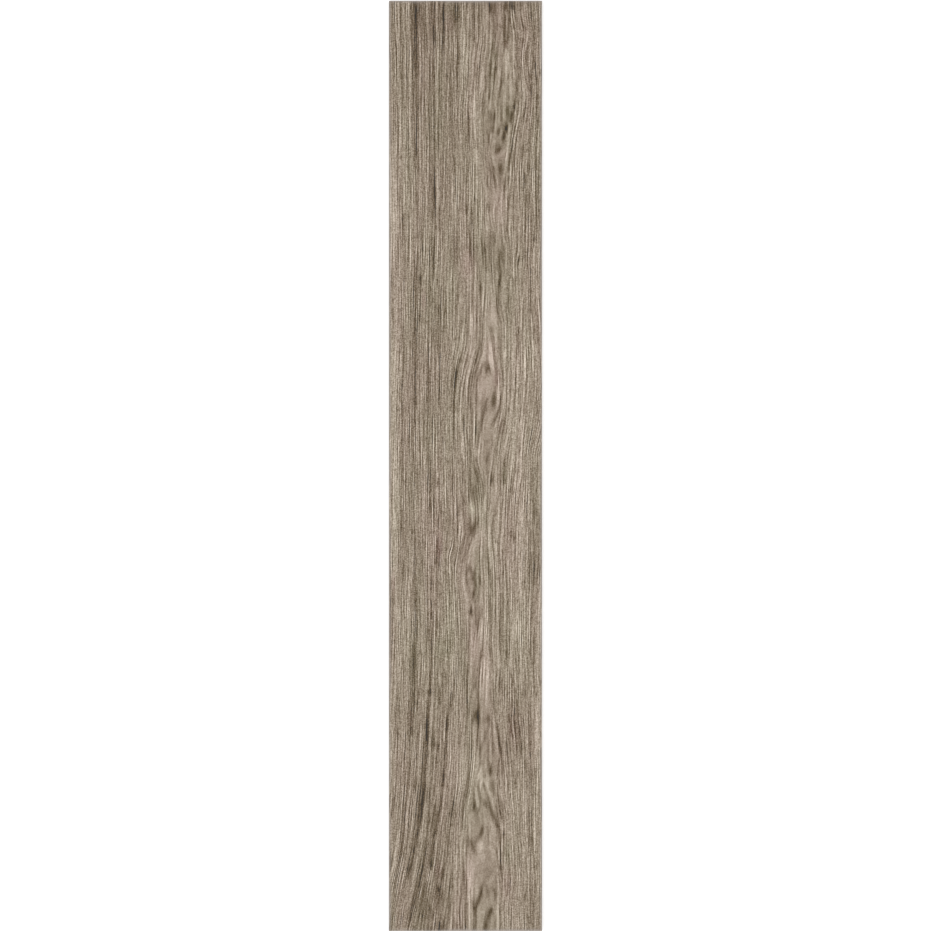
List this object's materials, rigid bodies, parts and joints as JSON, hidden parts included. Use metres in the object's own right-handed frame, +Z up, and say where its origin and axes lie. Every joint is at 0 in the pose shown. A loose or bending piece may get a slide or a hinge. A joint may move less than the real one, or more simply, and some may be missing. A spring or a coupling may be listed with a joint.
{
  "type": "wood look porcelain plank tile",
  "caption": "Rectangular porcelain plank tile with an oak wood-grain face, square-ground bevelled edges and a shallow waffle-keyed back that beds in adhesive.",
  "frame": {"origin": "under the middle of the plank, level with the back ribs that it beds on", "axes": "+X across the grain, +Y along the grain and the plank's length, +Z up out of the wood-grain face"},
  "size_m": [0.197, 1.197, 0.01],
  "materials": {
    "porcelain": "matte"
  },
  "bodies": {
    "root": {"plank_tile": "porcelain"}
  },
  "joints": []
}
